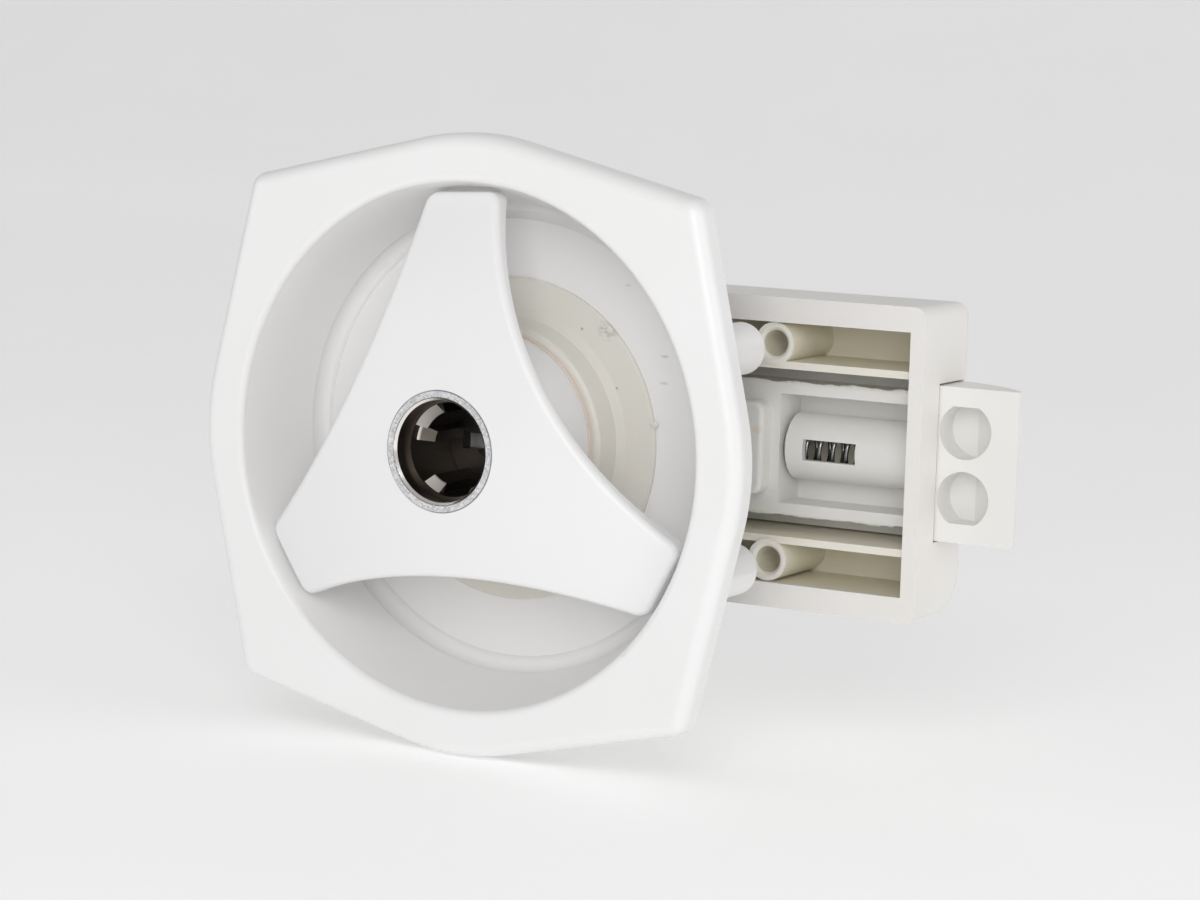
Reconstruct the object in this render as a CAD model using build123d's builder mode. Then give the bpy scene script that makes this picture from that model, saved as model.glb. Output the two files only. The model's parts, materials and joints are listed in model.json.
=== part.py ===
"""Rotary-knob slam latch for a hatch or locker door, in millimetres.

A flush bezel with a hand-sized bowl is set in the outside of the door and a latch case is
screwed to the inside, with the door panel between them. A three-armed knob turns in the
bowl. Its square spindle turns a cam in the latch case, and the cam draws the spring bolt in.

Frame: +Z is up, -Y is out of the door towards the user, +X is the way the bolt throws.
The origin is on the knob's axis, in the back face of the bezel's gasket, where it meets the door.
"""
import os
from math import acos, atan2, cos, degrees, hypot, radians, sin, sqrt

from build123d import *

os.makedirs("parts", exist_ok=True)

# ---------------------------------------------------------------- driving dimensions
# fits
running_fit = 0.05          # radial clearance of a turning or sliding fit
seat_fit = 0.05             # radial clearance of two fixed pieces
guide_clearance = 0.3       # each side of the bolt between its guide ribs
face_gap = 0.1              # between flat faces that rub

# bezel
plate_half = 41.2           # corner of the plate, measured square from the axis
plate_apex = 50.8           # sharp middle of each side before it is rounded
plate_t = 4.7
apex_round = 40.0
corner_round = 3.0
plate_edge_round = 2.2
bowl_rim_r = 42.0
bowl_rim_round = 1.2
bowl_depth = 17.1           # plate's front face to the bowl's floor
bowl_foot_r = 38.3          # where the wall meets the corner at the floor
bowl_corner_r = 36.9        # lowest ring of the corner
bowl_floor_r = 35.7         # the raised floor disc
bowl_foot_rise = 2.0
bowl_foot_bulge = 0.35      # the corner swells this far inward of the foot
floor_raise = 0.7
floor_edge_bulge = 0.5
bowl_outer_chamfer = 0.6
bowl_wall = 2.2

# fixing posts on the bezel and the matching bosses in the case
fixing_dx = 39.6
fixing_dz = 17.5
post_r = 4.15
post_length = 14.5
post_pilot_r = 1.7
post_pilot_depth = 12.0
post_end_round = 0.9
boss_r = 3.4
boss_hole_r = 2.15
boss_chamfer = 0.5

# door seal
gasket_t = 0.8
gasket_inset = 0.7
gasket_gap = 0.4

# bearing flange, seal ring and its retainer
flange_r = 26.3
flange_t = 0.9
collar_r = 19.35
collar_foot_r = 20.1
collar_height = 5.7
collar_round = 0.9
collar_foot_slope = 1.2     # slope where the collar meets the flange
flange_edge_chamfer = 0.3
spigot_r = 21.0
spigot_stand = 2.2          # spigot left standing behind the bowl's floor
wear_ring_t = 0.9
retainer_r = 25.0
retainer_t = 1.3
retainer_groove = 0.6
retainer_gap = 4.0

# knob
boss_shaft_r = 18.2         # the knob's hub inside the flange
arm_count = 3
arm_first_deg = 93.0
arm_reach = 40.4
arm_tip_half = 6.5
arm_tip_round = 2.4
arm_waist_r = 20.15
knob_front = 11.8           # hub's crown, out from the door
knob_crown_r = 100.0
knob_middle_t = 1.0         # between the crown and the sphere of the underside, on the axis
knob_underside_r = 82.0     # rounder than the crown, so the arms thicken towards their tips
knob_edge_round = 1.2
hub_start = 2.4             # front end of the hub shaft, behind the crown
snap_groove = 1.0
snap_ring_t = 1.2
snap_ring_r = 20.3
snap_gap = 9.0
snap_ear_r = 2.0
snap_ear_hole_r = 0.75
snap_ear_dx = 6.6
snap_ear_inset = 0.9
thrust_washer_t = 0.8
thrust_washer_r = 21.4
shaft_tail = 1.0

# key barrel sleeve
sleeve_r = 9.57
sleeve_bore_r = 8.1
sleeve_sink = 0.4           # sleeve's face behind the crown
sleeve_length = 17.5
sleeve_plain = 3.6
sleeve_bevel = 0.5
sleeve_step_r = 7.55        # the bore beyond its plain mouth
land_lead = 1.5             # slope at the front of each land
# lands in the bore that key the barrel: middle angle, width in degrees, inner radius, setback
lands = (
    (133.0, 40.0, 6.1, 0.0),
    (164.0, 20.0, 5.0, 1.6),
    (240.0, 24.0, 6.0, 0.4),
    (304.0, 16.0, 6.7, 0.0),
)
seat_t = 2.4
seat_slot_w = 2.6
seat_slot_length = 10.0
seat_hole_r = 2.6

# spindle and its cross pin
spindle_w = 7.0
socket_gap = 0.05
spindle_start = 10.4
spindle_chamfer = 0.6
spindle_shortfall = 1.0     # spindle's end short of the bolt plate
socket_depth_gap = 0.5
pin_r = 1.25
pin_y = 13.4
pin_end_gap = 0.6           # pin's ends inside the hub

# latch case
door_t = 24.5               # the door panel between plate and case
case_right = 66.2
case_left = 46.0
case_half = 25.0
case_wall = 2.5
case_band = 4.0
case_floor_t = 2.4
case_depth = 18.0
case_back_round = 2.6
case_sill_round = 7.0       # the lower back edge is rounded more
case_end_round = 2.0
rib_z = 14.1
rib_t = 1.2
rib_setback = 1.2
rib_left = 24.0             # the ribs stop clear of the cam's sweep
boss_setback = 0.9

# bolt
bolt_throw = 12.0
nose_length = 13.5
nose_half = 12.35
nose_tip_t = 1.0
nose_ramp_start = 1.0       # the ramp starts this far outside the case wall
nose_ramp_mid = (0.74, 0.44)    # share of the length, and of the thickness, half way round
nose_root = 4.0             # solid part of the nose inside the case wall
nose_pocket_r = 4.45
nose_pocket_pitch = 10.8
nose_pocket_x = 4.6         # pocket centre beyond the case wall
nose_pocket_flat = 3.9
nose_pocket_depth = 5.2
nose_pocket_shallow = 2.6   # depth at the side towards the nose's tip
carriage_setback = 6.5      # carriage front behind the case rim
carriage_half = 10.65
carriage_pocket_half = 8.9
carriage_pocket_left = 38.3
carriage_floor_t = 1.6
carriage_left = 23.0        # where the deep carriage starts, right of the cam
bolt_tail = 22.0            # thin plate's end, left of the axis
pad_right = 36.7
pad_half = 7.6
pad_proud = 3.2
pad_round = 1.8
pad_edge_round = 0.8
tube_r = 5.45
tube_setback = 0.2          # tube's crest behind the carriage front
tube_left = 39.2
window_left = 42.3
window_length = 9.4
window_height = 3.4
journal_slot_gap = 0.4

# bolt spring and its anchor tab
spring_r = 3.5
spring_wire_r = 0.33
spring_pitch = 2.3
spring_turns = 10
spring_bore_gap = 0.25
spring_setback = 0.4        # coil clear of the case floor
spring_lead = 1.0           # coil starts this far left of the tube
anchor_t = 2.0
anchor_width = 5.6
anchor_side_gap = 0.6

# cam
knob_turn_deg = 75.0
cam_hub_step = 1.2          # hub is this much smaller than the involute's base circle
cam_journal_r = 6.0
cam_t = 5.8
cam_lead = 2.0              # length of the involute used up before the rest position
cam_gap = 0.15
cam_hub_setback = 1.5       # hub's front behind the case rim
cam_plate_gap = 0.3
follower_hub_gap = 0.4
follower_t = 6.0
cam_screw_r = 1.9
cam_screw_head_r = 3.6
cam_screw_head_t = 2.4
cam_screw_length = 6.0
cam_screw_hole_spare = 0.2
cam_screw_head_round = 0.9
cross_recess = (4.0, 0.9, 1.4)  # length, width and depth
cam_washer_r = 9.0
cam_washer_t = 1.0
cam_washer_gap = 0.05

# knob return spring, wound round the cam's hub
return_spring_wire_r = 0.5
return_spring_turns = 3.45
return_spring_pitch = 1.3
return_spring_gap = 0.8
return_spring_lobe_gap = 0.4
return_spring_hole_gap = 0.2
return_spring_leg = 3.0
return_spring_reach = 1.3   # end of the leg beyond the case's post
leg_post_r = 1.5
leg_post_gap = 0.75         # post clear of the lobe's sweep

# ---------------------------------------------------------------- worked-out places
plate_y = -gasket_t            # back of the plate, on the gasket
front_y = plate_y - plate_t
floor_y = front_y + bowl_depth
floor_back_y = floor_y + bowl_wall
flange_y = floor_y - flange_t
collar_y = flange_y - collar_height
spigot_end_y = floor_back_y + spigot_stand
flange_bore_r = boss_shaft_r + running_fit
washer_y = spigot_end_y + face_gap
snap_y = washer_y + thrust_washer_t + face_gap
shaft_end_y = snap_y + snap_ring_t + shaft_tail
crown_y = -knob_front
sleeve_y = crown_y + sleeve_sink
sleeve_end_y = sleeve_y + sleeve_length

rim_y = door_t
case_back_y = rim_y + case_depth
case_floor_y = case_back_y - case_floor_t
carriage_y = rim_y + carriage_setback
bolt_back_y = case_floor_y - face_gap
bolt_plate_y = bolt_back_y - carriage_floor_t
bolt_half = rib_z - rib_t / 2 - guide_clearance
nose_end_x = case_right + nose_length

cam_base_r = bolt_throw / radians(knob_turn_deg)
cam_hub_r = cam_base_r - cam_hub_step
cam_end = cam_lead + bolt_throw
cam_tip_r = hypot(cam_base_r, cam_end)
cam_back_y = bolt_plate_y - cam_plate_gap
cam_front_y = cam_back_y - cam_t
cam_hub_front_y = rim_y + cam_hub_setback
cam_tail_y = case_back_y + face_gap
spindle_end_y = bolt_plate_y - spindle_shortfall
follower_x = -(cam_lead + cam_gap)

spring_y = bolt_back_y - spring_r - spring_setback
spring_bore_r = spring_r + spring_bore_gap
spring_left = tube_left - spring_lead
spring_length = spring_turns * spring_pitch + 2 * spring_wire_r
spring_right = spring_left + spring_length
anchor_x = spring_left - anchor_t
anchor_y = spring_y - sqrt(spring_bore_r**2 - (anchor_width / 2) ** 2) + guide_clearance

coil_r = cam_hub_r + return_spring_gap + return_spring_wire_r
coil_height = return_spring_turns * return_spring_pitch
coil_start_y = cam_front_y - return_spring_wire_r - return_spring_lobe_gap - coil_height
coil_end_y = coil_start_y + coil_height
coil_end_deg = 90 - 360 * return_spring_turns
leg_post_x = return_spring_wire_r + face_gap + leg_post_r
leg_post_z = cam_tip_r + leg_post_gap + leg_post_r
return_spring_arm_z = leg_post_z + return_spring_reach


def facing(y):
    """A drawing plane square to the knob's axis at depth y. Extrusions from it go towards -Y."""
    return Plane.XZ.offset(-y)


def around(radius, angle_deg):
    """A point on a facing() plane by radius and angle, anticlockwise from +X."""
    return (radius * cos(radians(angle_deg)), radius * sin(radians(angle_deg)))


def save(part, name):
    """Label a finished piece and write it out."""
    part.label = name
    export_step(part, f"parts/{name}.step")


fixing_points = [(sx * fixing_dx, sz * fixing_dz) for sx in (-1, 1) for sz in (-1, 1)]

# ---------------------------------------------------------------- bezel
# plate outline: a square whose sides rise to a soft point half way along
outline_points = [
    (plate_half, plate_half),
    (0, plate_apex),
    (-plate_half, plate_half),
    (-plate_apex, 0),
    (-plate_half, -plate_half),
    (0, -plate_apex),
    (plate_half, -plate_half),
    (plate_apex, 0),
]

with BuildSketch() as plate_outline:
    with BuildLine():
        Polyline(*outline_points, close=True)
    make_face()
    apexes = [v for v in plate_outline.vertices() if min(abs(v.X), abs(v.Y)) < 0.01]
    fillet(apexes, apex_round)
    corners = [v for v in plate_outline.vertices() if abs(abs(v.X) - abs(v.Y)) < 0.01]
    fillet(corners, corner_round)

with BuildPart() as bezel:
    with BuildSketch(facing(plate_y)):
        add(plate_outline.sketch)
    extrude(amount=plate_t)
    fillet(bezel.faces().sort_by(Axis.Y)[0].edges(), plate_edge_round)
    # outside of the bowl
    with BuildSketch(Plane.XY):
        with BuildLine():
            Polyline(
                (0, front_y + plate_edge_round),
                (bowl_rim_r + bowl_wall, front_y + plate_edge_round),
                (bowl_foot_r + bowl_wall, floor_y - bowl_foot_rise),
                (bowl_corner_r + bowl_wall - bowl_outer_chamfer, floor_back_y),
                (0, floor_back_y),
                close=True,
            )
        make_face()
    revolve(axis=Axis.Y)
    # posts for the clamp screws
    with BuildSketch(facing(post_length)):
        with Locations(*fixing_points):
            Circle(post_r)
    extrude(amount=post_length - plate_y + plate_t / 2)
    post_ends = bezel.faces().filter_by(Plane.XZ).sort_by(Axis.Y)[-4:]
    fillet(post_ends.edges(), post_end_round)
    # inside of the bowl
    with BuildSketch(Plane.XY):
        with BuildLine():
            outer_lip = (bowl_rim_r + bowl_rim_round, front_y)
            inner_lip = (bowl_rim_r, front_y + bowl_rim_round)
            foot = (bowl_foot_r, floor_y - bowl_foot_rise)
            low_ring = (bowl_corner_r, floor_y + floor_raise)
            floor_edge = (bowl_floor_r, floor_y)
            Polyline((0, floor_y), (0, front_y - 2), (outer_lip[0], front_y - 2), outer_lip)
            RadiusArc(outer_lip, inner_lip, bowl_rim_round)
            Line(inner_lip, foot)
            corner_mid = (bowl_foot_r - bowl_foot_bulge, floor_y - bowl_foot_bulge / 2)
            ThreePointArc(foot, corner_mid, low_ring)
            edge_mid = ((bowl_corner_r + bowl_floor_r) / 2, floor_y + floor_edge_bulge)
            ThreePointArc(low_ring, edge_mid, floor_edge)
            Line(floor_edge, (0, floor_y))
        make_face()
    revolve(axis=Axis.Y, mode=Mode.SUBTRACT)
    # hole for the flange's spigot
    with BuildSketch(facing(floor_back_y + 1)):
        Circle(spigot_r + seat_fit)
    extrude(amount=bowl_wall + 2, mode=Mode.SUBTRACT)
    # pilot holes up the posts
    with BuildSketch(facing(post_length)):
        with Locations(*fixing_points):
            Circle(post_pilot_r)
    extrude(amount=post_pilot_depth, mode=Mode.SUBTRACT)
save(bezel.part, "bezel")

# ---------------------------------------------------------------- bezel gasket
with BuildPart() as bezel_gasket:
    with BuildSketch(facing(0)):
        add(scale(plate_outline.sketch, by=1 - gasket_inset / plate_half))
        Circle(bowl_rim_r + bowl_wall + gasket_gap, mode=Mode.SUBTRACT)
        with Locations(*fixing_points):
            Circle(post_r + gasket_gap, mode=Mode.SUBTRACT)
    extrude(amount=gasket_t)
save(bezel_gasket.part, "bezel_gasket")

# ---------------------------------------------------------------- bearing flange
with BuildPart() as bearing_flange:
    with BuildSketch(Plane.XY):
        with BuildLine():
            Polyline(
                (flange_bore_r, collar_y),
                (collar_r - collar_round, collar_y),
            )
            RadiusArc(
                (collar_r - collar_round, collar_y),
                (collar_r, collar_y + collar_round),
                collar_round,
            )
            Polyline(
                (collar_r, collar_y + collar_round),
                (collar_foot_r, flange_y - collar_foot_slope),
                (collar_foot_r + collar_foot_slope, flange_y),
                (flange_r - flange_edge_chamfer, flange_y),
                (flange_r, flange_y + flange_edge_chamfer),
                (flange_r, floor_y),
                (spigot_r, floor_y),
                (spigot_r, floor_back_y),
                (spigot_r - retainer_groove, floor_back_y),
                (spigot_r - retainer_groove, floor_back_y + retainer_t + face_gap),
                (spigot_r, floor_back_y + retainer_t + face_gap),
                (spigot_r, spigot_end_y),
                (flange_bore_r, spigot_end_y),
                (flange_bore_r, collar_y),
            )
        make_face()
    revolve(axis=Axis.Y)
save(bearing_flange.part, "bearing_flange")

# ---------------------------------------------------------------- wear ring on the collar
with BuildPart() as wear_ring:
    with BuildSketch(facing(collar_y)):
        Circle(collar_r - collar_round)
        Circle(boss_shaft_r + running_fit, mode=Mode.SUBTRACT)
    extrude(amount=wear_ring_t)
save(wear_ring.part, "wear_ring")

# ---------------------------------------------------------------- flange retainer
with BuildPart() as flange_retainer:
    with BuildSketch(facing(floor_back_y + retainer_t)):
        Circle(retainer_r)
        Circle(spigot_r - retainer_groove + seat_fit, mode=Mode.SUBTRACT)
        # a gap lets the ring spring open over the spigot
        with Locations((0, retainer_r)):
            Rectangle(retainer_gap, 4 * (retainer_r - spigot_r), mode=Mode.SUBTRACT)
    extrude(amount=retainer_t)
save(flange_retainer.part, "flange_retainer")

# ---------------------------------------------------------------- knob
arm_angles = [arm_first_deg + k * 360 / arm_count for k in range(arm_count)]


tip_radius = hypot(arm_reach, arm_tip_half)
tip_half_deg = degrees(atan2(arm_tip_half, arm_reach))
with BuildSketch() as knob_outline:
    with BuildLine():
        for angle in arm_angles:
            tip_start = around(tip_radius, angle - tip_half_deg)
            tip_end = around(tip_radius, angle + tip_half_deg)
            waist = around(arm_waist_r, angle + 180 / arm_count)
            next_tip = around(tip_radius, angle + 360 / arm_count - tip_half_deg)
            Line(tip_start, tip_end)
            ThreePointArc(tip_end, waist, next_tip)
    make_face()
    fillet(knob_outline.vertices(), arm_tip_round)

# domed plate that the arms are cut from
with BuildPart() as dome:
    with Locations((0, crown_y + knob_crown_r, 0)):
        Sphere(knob_crown_r)
    with Locations((0, crown_y + knob_middle_t + knob_underside_r, 0)):
        Sphere(knob_underside_r, mode=Mode.SUBTRACT)

with BuildPart() as knob:
    with BuildSketch(facing(floor_y)):
        add(knob_outline.sketch)
    extrude(amount=floor_y + knob_front + 1)
    add(dome.part, mode=Mode.INTERSECT)
    fillet(knob.faces().sort_by(Axis.Y)[0].edges(), knob_edge_round)
    # hub shaft that turns in the flange
    with BuildSketch(facing(shaft_end_y)):
        Circle(boss_shaft_r)
    extrude(amount=shaft_end_y - crown_y - hub_start)
    with BuildSketch(facing(snap_y + snap_ring_t + face_gap)):
        Circle(boss_shaft_r + 1)
        Circle(boss_shaft_r - snap_groove, mode=Mode.SUBTRACT)
    extrude(amount=snap_ring_t + face_gap, mode=Mode.SUBTRACT)
    # seat for the key barrel sleeve
    with BuildSketch(facing(sleeve_end_y)):
        Circle(sleeve_r + seat_fit)
    extrude(amount=sleeve_length + 2, mode=Mode.SUBTRACT)
    # square socket for the spindle
    with BuildSketch(facing(shaft_end_y + 1)):
        Rectangle(spindle_w + 2 * socket_gap, spindle_w + 2 * socket_gap)
    extrude(amount=shaft_end_y + 1 - spindle_start, mode=Mode.SUBTRACT)
    # cross hole for the spindle pin
    with BuildSketch(Plane.YZ.offset(-boss_shaft_r - 1)):
        with Locations((pin_y, 0)):
            Circle(pin_r + socket_gap)
    extrude(amount=2 * boss_shaft_r + 2, mode=Mode.SUBTRACT)
save(knob.part, "knob")

# ---------------------------------------------------------------- key barrel sleeve
with BuildPart() as key_sleeve:
    with BuildSketch(facing(sleeve_end_y)):
        Circle(sleeve_r)
        Circle(sleeve_bore_r, mode=Mode.SUBTRACT)
    extrude(amount=sleeve_length)
    bore_lip = key_sleeve.edges().filter_by(GeomType.CIRCLE).group_by(Axis.Y)[0].sort_by(SortBy.RADIUS)[0]
    chamfer(bore_lip, sleeve_bevel)
    # the narrower bore behind the plain mouth
    step_y = sleeve_y + sleeve_plain
    with BuildSketch(facing(sleeve_end_y)):
        Circle(sleeve_bore_r + seat_fit)
        Circle(sleeve_step_r, mode=Mode.SUBTRACT)
    extrude(amount=sleeve_end_y - step_y)
    # lands that guide and key the barrel, unequal so that it fits one way only
    for middle_deg, width_deg, land_r, setback in lands:
        edge_plane = Plane.XY.rotated((0, -(middle_deg - width_deg / 2), 0))
        with BuildSketch(edge_plane):
            with BuildLine():
                Polyline(
                    (sleeve_bore_r, step_y + setback),
                    (sleeve_step_r - seat_fit, step_y + setback),
                    (land_r, step_y + setback + land_lead),
                    (land_r, sleeve_end_y - seat_t),
                    (sleeve_bore_r, sleeve_end_y - seat_t),
                    close=True,
                )
            make_face()
        revolve(axis=Axis.Y, revolution_arc=-width_deg)
save(key_sleeve.part, "key_sleeve")

# ---------------------------------------------------------------- barrel seat
# slotted disc at the sleeve's deep end that takes the barrel's tail
with BuildPart() as barrel_seat:
    with BuildSketch(facing(sleeve_end_y)):
        Circle(sleeve_step_r - seat_fit)
    extrude(amount=seat_t - face_gap)
    with BuildSketch(facing(sleeve_end_y + 1)):
        Circle(seat_hole_r)
        Rectangle(seat_slot_length, seat_slot_w)
    extrude(amount=seat_t + 2, mode=Mode.SUBTRACT)
save(barrel_seat.part, "barrel_seat")

# ---------------------------------------------------------------- thrust washer and snap ring
with BuildPart() as thrust_washer:
    with BuildSketch(facing(washer_y + thrust_washer_t)):
        Circle(thrust_washer_r)
        Circle(boss_shaft_r + seat_fit, mode=Mode.SUBTRACT)
    extrude(amount=thrust_washer_t)
save(thrust_washer.part, "thrust_washer")

with BuildPart() as snap_ring:
    with BuildSketch(facing(snap_y + snap_ring_t)):
        Circle(snap_ring_r)
        Circle(boss_shaft_r - snap_groove + seat_fit, mode=Mode.SUBTRACT)
        with Locations((0, -snap_ring_r)):
            Rectangle(snap_gap, 4 * (snap_ring_r - boss_shaft_r), mode=Mode.SUBTRACT)
        # ears with the holes that the pliers take
        for side in (-1, 1):
            with Locations((side * snap_ear_dx, -snap_ring_r + snap_ear_inset)):
                Circle(snap_ear_r)
                Circle(snap_ear_hole_r, mode=Mode.SUBTRACT)
        Circle(boss_shaft_r - snap_groove + seat_fit, mode=Mode.SUBTRACT)
    extrude(amount=snap_ring_t)
save(snap_ring.part, "snap_ring")

# ---------------------------------------------------------------- spindle and pin
with BuildPart() as spindle:
    with BuildSketch(facing(spindle_end_y)):
        Rectangle(spindle_w, spindle_w)
    extrude(amount=spindle_end_y - spindle_start - face_gap)
    chamfer(spindle.faces().sort_by(Axis.Y)[-1].edges(), spindle_chamfer)
    with BuildSketch(Plane.YZ.offset(-spindle_w)):
        with Locations((pin_y, 0)):
            Circle(pin_r + socket_gap)
    extrude(amount=2 * spindle_w, mode=Mode.SUBTRACT)
save(spindle.part, "spindle")

with BuildPart() as spindle_pin:
    with BuildSketch(Plane.YZ.offset(-boss_shaft_r + pin_end_gap)):
        with Locations((pin_y, 0)):
            Circle(pin_r)
    extrude(amount=2 * (boss_shaft_r - pin_end_gap))
save(spindle_pin.part, "spindle_pin")


# ---------------------------------------------------------------- drive cam
def involute(length):
    """Cam profile point where this much string has come off the base circle."""
    turn = (length - cam_lead) / cam_base_r
    return (
        -length * cos(turn) + cam_base_r * sin(turn),
        -length * sin(turn) - cam_base_r * cos(turn),
    )


lobe_root = involute(0)
lobe_tip = involute(cam_end)
lobe_steps = 12
# the lobe's back runs from the rounded tip to touch the hub on its far side
tip_distance = hypot(*lobe_tip)
back_touch_deg = degrees(atan2(lobe_tip[1], lobe_tip[0]) + acos(cam_hub_r / tip_distance))
back_touch = around(cam_hub_r, back_touch_deg)

with BuildPart() as drive_cam:
    with BuildSketch(facing(cam_back_y)):
        Circle(cam_hub_r)
        with BuildLine():
            Spline(*[involute(cam_end * k / lobe_steps) for k in range(lobe_steps + 1)])
            Polyline(lobe_tip, back_touch, (0, 0), lobe_root)
        make_face()
    extrude(amount=cam_t)
    with BuildSketch(facing(cam_back_y)):
        Circle(cam_hub_r)
    extrude(amount=cam_back_y - cam_hub_front_y)
    # journal that turns in the case floor
    with BuildSketch(facing(cam_tail_y)):
        Circle(cam_journal_r)
    extrude(amount=cam_tail_y - cam_back_y + 1)
    # square socket for the spindle
    with BuildSketch(facing(spindle_end_y + socket_depth_gap)):
        Rectangle(spindle_w + 2 * socket_gap, spindle_w + 2 * socket_gap)
    extrude(amount=spindle_end_y + socket_depth_gap - cam_hub_front_y + 1, mode=Mode.SUBTRACT)
    # hole for the retaining screw
    with BuildSketch(facing(cam_tail_y + 1)):
        Circle(cam_screw_r + seat_fit)
    extrude(amount=cam_screw_length + cam_screw_hole_spare + 1, mode=Mode.SUBTRACT)
    # hole in the lobe for the return spring's leg
    with BuildSketch(facing(cam_front_y + return_spring_leg)):
        with Locations(around(coil_r, coil_end_deg)):
            Circle(return_spring_wire_r + return_spring_hole_gap)
    extrude(amount=return_spring_leg + 1, mode=Mode.SUBTRACT)
save(drive_cam.part, "drive_cam")

# ---------------------------------------------------------------- knob return spring
with BuildPart() as return_spring:
    with BuildLine():
        coil = Helix(
            return_spring_pitch,
            coil_height,
            coil_r,
            center=(0, coil_start_y, 0),
            direction=(0, 1, 0),
        )
    with BuildSketch(Plane(coil @ 0, z_dir=coil % 0)):
        Circle(return_spring_wire_r)
    sweep(is_frenet=True)
    # leg up to the case's post
    with BuildSketch(Plane.XY.offset(return_spring_arm_z)):
        with Locations((0, coil_start_y)):
            Circle(return_spring_wire_r)
    extrude(amount=coil_r - return_spring_arm_z)
    # leg into the cam's lobe
    with BuildSketch(facing(coil_end_y + return_spring_leg)):
        with Locations(around(coil_r, coil_end_deg)):
            Circle(return_spring_wire_r)
    extrude(amount=return_spring_leg)
    with Locations(coil @ 0, coil @ 1):
        Sphere(return_spring_wire_r)
save(return_spring.part, "return_spring")

# ---------------------------------------------------------------- cam washer and screw
washer_face_y = cam_tail_y + cam_washer_gap
with BuildPart() as cam_washer:
    with BuildSketch(facing(washer_face_y + cam_washer_t)):
        Circle(cam_washer_r)
        Circle(cam_screw_r + seat_fit, mode=Mode.SUBTRACT)
    extrude(amount=cam_washer_t)
save(cam_washer.part, "cam_washer")

screw_seat_y = washer_face_y + cam_washer_t
with BuildPart() as cam_screw:
    with BuildSketch(facing(screw_seat_y + cam_screw_head_t)):
        Circle(cam_screw_head_r)
    extrude(amount=cam_screw_head_t)
    fillet(cam_screw.edges().sort_by(Axis.Y)[-1], cam_screw_head_round)
    with BuildSketch(facing(screw_seat_y)):
        Circle(cam_screw_r)
    extrude(amount=cam_screw_length)
    # cross recess
    with BuildSketch(facing(screw_seat_y + cam_screw_head_t)):
        Rectangle(cross_recess[0], cross_recess[1])
        Rectangle(cross_recess[1], cross_recess[0])
    extrude(amount=cross_recess[2], mode=Mode.SUBTRACT)
save(cam_screw.part, "cam_screw")

# ---------------------------------------------------------------- latch case
case_length = case_right + case_left
case_mid = (case_right - case_left) / 2

with BuildPart() as latch_case:
    # side profile, drawn in the YZ plane: the lower back edge is rounded more
    with BuildSketch(Plane.YZ.offset(-case_left)) as case_profile:
        with Locations(((rim_y + case_back_y) / 2, 0)):
            Rectangle(case_depth, 2 * case_half)
        back_corners = case_profile.vertices().group_by(Axis.X)[-1].sort_by(Axis.Y)
        fillet(back_corners[0], case_sill_round)
        fillet(case_profile.vertices().group_by(Axis.X)[-1].sort_by(Axis.Y)[-1], case_back_round)
    extrude(amount=case_length)
    end_edges = latch_case.edges().filter_by(
        lambda e: abs(e.center().X - case_mid) > case_length / 2 - 0.01 and e.center().Y > rim_y + 0.01
    )
    fillet(end_edges, case_end_round)
    # the hollow, with the wide bands above and below
    with BuildSketch(facing(case_floor_y)):
        with Locations((case_mid, 0)):
            Rectangle(case_length - 2 * case_wall, 2 * (case_half - case_band))
    extrude(amount=case_depth, mode=Mode.SUBTRACT)
    # guide ribs for the bolt
    rib_right = case_right - case_wall / 2
    rib_mid = (rib_left + rib_right) / 2
    with BuildSketch(facing(case_floor_y)):
        with Locations((rib_mid, rib_z), (rib_mid, -rib_z)):
            Rectangle(rib_right - rib_left, rib_t)
    extrude(amount=case_floor_y - rim_y - rib_setback)
    # post that the knob return spring's leg pushes against
    with BuildSketch(facing(case_floor_y)):
        with Locations((leg_post_x, leg_post_z)):
            Circle(leg_post_r)
    extrude(amount=case_floor_y - coil_start_y + leg_post_r)
    # screw bosses
    with BuildSketch(facing(case_floor_y)):
        with Locations(*fixing_points):
            Circle(boss_r)
    extrude(amount=case_floor_y - rim_y - boss_setback)
    with BuildSketch(facing(case_back_y + 1)):
        with Locations(*fixing_points):
            Circle(boss_hole_r)
    extrude(amount=case_depth + 2, mode=Mode.SUBTRACT)
    boss_lips = (
        latch_case.edges()
        .filter_by(GeomType.CIRCLE)
        .filter_by(lambda e: abs(e.radius - boss_hole_r) < 0.01)
        .group_by(Axis.Y)[0]
    )
    chamfer(boss_lips, boss_chamfer)
    # window in the right wall that the bolt's nose runs through
    nose_window_y = carriage_y - guide_clearance
    with BuildSketch(facing(case_floor_y)):
        with Locations((case_right, 0)):
            Rectangle(4 * case_wall, 2 * (nose_half + guide_clearance))
    extrude(amount=case_floor_y - nose_window_y, mode=Mode.SUBTRACT)
    # bearing for the cam's journal
    with BuildSketch(facing(case_back_y + 1)):
        Circle(cam_journal_r + running_fit)
    extrude(amount=case_floor_t + 2, mode=Mode.SUBTRACT)
    # tab that the bolt spring pushes against
    with BuildSketch(facing(case_back_y - case_floor_t / 2)):
        with Locations((anchor_x + anchor_t / 2, 0)):
            Rectangle(anchor_t, anchor_width)
    extrude(amount=case_back_y - case_floor_t / 2 - anchor_y)
save(latch_case.part, "latch_case")

# ---------------------------------------------------------------- bolt
nose_root_t = bolt_back_y - carriage_y
nose_pocket_centre = case_right + nose_pocket_x

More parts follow.
